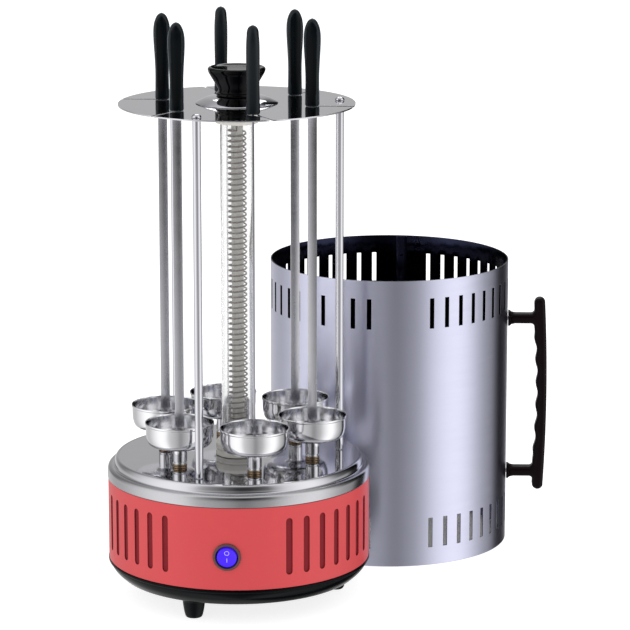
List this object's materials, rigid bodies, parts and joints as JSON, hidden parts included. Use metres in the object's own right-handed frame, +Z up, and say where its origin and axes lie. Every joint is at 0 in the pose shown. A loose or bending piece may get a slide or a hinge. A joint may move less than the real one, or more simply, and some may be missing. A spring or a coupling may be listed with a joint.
{
  "type": "upright skewer rotisserie",
  "caption": "Round motor base with a ring of turning drip cups and skewers around a central heating tube, under a slotted top disc, with a separate slotted cylindrical cover.",
  "frame": {"origin": "middle of the footprint of the grill and its cover together, on the table", "axes": "+Z up along the heating tube, -Y towards the switch, +X towards the cover's handle"},
  "size_m": [0.382, 0.3918, 0.4905],
  "materials": {
    "black_plastic": "moulded, semi-matt",
    "gloss_black": "moulded, high gloss",
    "brown_black_plastic": "moulded, semi-matt",
    "coral_paint": "smooth stove enamel",
    "polished_steel": "mirror-polished stainless steel",
    "blade_steel": "stainless steel, drawn",
    "polished_aluminium": "turned and polished",
    "zinc_plate": "zinc-plated sheet",
    "brass": "turned",
    "nylon": "moulded",
    "ceramic": "fired ceramic, unglazed",
    "quartz": "clear fused quartz",
    "rocker_blue": "translucent, lit from inside"
  },
  "bodies": {
    "root": {"base_pan": "black_plastic", "foot_1": "black_plastic", "foot_2": "black_plastic", "foot_3": "black_plastic", "housing_band": "coral_paint", "deck": "polished_steel", "chassis_plate": "zinc_plate", "gear_motor": "zinc_plate", "heater_socket": "ceramic", "heater_tube": "quartz", "heater_core": "ceramic", "heater_cap": "ceramic", "post_1": "polished_steel", "post_2": "polished_steel", "post_3": "polished_steel", "post_screw_1": "polished_steel", "post_screw_2": "polished_steel", "post_screw_3": "polished_steel", "top_disc": "polished_steel", "knob_dome": "polished_steel", "switch_housing": "black_plastic", "cord_gland": "black_plastic", "cup_bush_1": "brass", "cup_bush_2": "brass", "cup_bush_3": "brass", "cup_bush_4": "brass", "cup_bush_5": "brass", "cup_bush_6": "brass"},
    "knob": {"knob": "gloss_black"},
    "rocker": {"switch_rocker": "rocker_blue"},
    "drive": {"drive_gear": "nylon"},
    "pinion": {"motor_pinion": "brass"},
    "cup_1": {"cup_1": "polished_aluminium", "cup_gear_1": "nylon"},
    "skewer_1": {"skewer_blade_1": "blade_steel", "skewer_handle_1": "black_plastic"},
    "cup_2": {"cup_2": "polished_aluminium", "cup_gear_2": "nylon"},
    "skewer_2": {"skewer_blade_2": "blade_steel", "skewer_handle_2": "black_plastic"},
    "cup_3": {"cup_3": "polished_aluminium", "cup_gear_3": "nylon"},
    "skewer_3": {"skewer_blade_3": "blade_steel", "skewer_handle_3": "black_plastic"},
    "cup_4": {"cup_4": "polished_aluminium", "cup_gear_4": "nylon"},
    "skewer_4": {"skewer_blade_4": "blade_steel", "skewer_handle_4": "black_plastic"},
    "cup_5": {"cup_5": "polished_aluminium", "cup_gear_5": "nylon"},
    "skewer_5": {"skewer_blade_5": "blade_steel", "skewer_handle_5": "black_plastic"},
    "cup_6": {"cup_6": "polished_aluminium", "cup_gear_6": "nylon"},
    "skewer_6": {"skewer_blade_6": "blade_steel", "skewer_handle_6": "black_plastic"},
    "cover": {"cover_shell": "polished_steel", "cover_handle": "brown_black_plastic", "cover_screw_1": "polished_steel", "cover_screw_2": "polished_steel"}
  },
  "joints": [
    {"name": "drive_spin", "type": "hinge", "parent": "root", "child": "drive", "pos_m": [-0.08043, -0.08331, 0.0871], "axis": [0, 0, 1], "continuous": true},
    {"name": "pinion_spin", "type": "hinge", "parent": "root", "child": "pinion", "pos_m": [-0.06361, -0.02832, 0.087], "axis": [0, 0, 1], "continuous": true},
    {"name": "cup_spin_1", "type": "hinge", "parent": "root", "child": "cup_1", "pos_m": [-0.0658, -0.14664, 0.15], "axis": [0, 0, 1], "continuous": true},
    {"name": "cup_spin_2", "type": "hinge", "parent": "root", "child": "cup_2", "pos_m": [-0.01827, -0.10231, 0.15], "axis": [0, 0, 1], "continuous": true},
    {"name": "cup_spin_3", "type": "hinge", "parent": "root", "child": "cup_3", "pos_m": [-0.03289, -0.03898, 0.15], "axis": [0, 0, 1], "continuous": true},
    {"name": "cup_spin_4", "type": "hinge", "parent": "root", "child": "cup_4", "pos_m": [-0.09505, -0.01997, 0.15], "axis": [0, 0, 1], "continuous": true},
    {"name": "cup_spin_5", "type": "hinge", "parent": "root", "child": "cup_5", "pos_m": [-0.14259, -0.0643, 0.15], "axis": [0, 0, 1], "continuous": true},
    {"name": "cup_spin_6", "type": "hinge", "parent": "root", "child": "cup_6", "pos_m": [-0.12796, -0.12763, 0.15], "axis": [0, 0, 1], "continuous": true},
    {"name": "skewer_lift_1", "type": "slide", "parent": "cup_1", "child": "skewer_1", "axis": [0, 0, 1], "range_m": [0, 0.3]},
    {"name": "skewer_lift_2", "type": "slide", "parent": "cup_2", "child": "skewer_2", "axis": [0, 0, 1], "range_m": [0, 0.3]},
    {"name": "skewer_lift_3", "type": "slide", "parent": "cup_3", "child": "skewer_3", "axis": [0, 0, 1], "range_m": [0, 0.3]},
    {"name": "skewer_lift_4", "type": "slide", "parent": "cup_4", "child": "skewer_4", "axis": [0, 0, 1], "range_m": [0, 0.3]},
    {"name": "skewer_lift_5", "type": "slide", "parent": "cup_5", "child": "skewer_5", "axis": [0, 0, 1], "range_m": [0, 0.3]},
    {"name": "skewer_lift_6", "type": "slide", "parent": "cup_6", "child": "skewer_6", "axis": [0, 0, 1], "range_m": [0, 0.3]},
    {"name": "rocker_press", "type": "hinge", "parent": "root", "child": "rocker", "pos_m": [-0.08752, -0.19007, 0.0621], "axis": [-0.9978, 0.0663, 0], "range_deg": [0, 12]},
    {"name": "knob_turn", "type": "hinge", "parent": "root", "child": "knob", "pos_m": [-0.08043, -0.08331, 0.437], "axis": [0, 0, 1], "continuous": true},
    {"name": "cover_lift", "type": "slide", "parent": "root", "child": "cover", "axis": [0, 0, 1], "range_m": [0, 0.3]}
  ],
  "couplings": [
    {"joint": "pinion_spin", "follows": "drive_spin", "ratio": -4.75},
    {"joint": "cup_spin_1", "follows": "drive_spin", "ratio": -2.7143},
    {"joint": "cup_spin_2", "follows": "drive_spin", "ratio": -2.7143},
    {"joint": "cup_spin_3", "follows": "drive_spin", "ratio": -2.7143},
    {"joint": "cup_spin_4", "follows": "drive_spin", "ratio": -2.7143},
    {"joint": "cup_spin_5", "follows": "drive_spin", "ratio": -2.7143},
    {"joint": "cup_spin_6", "follows": "drive_spin", "ratio": -2.7143}
  ]
}
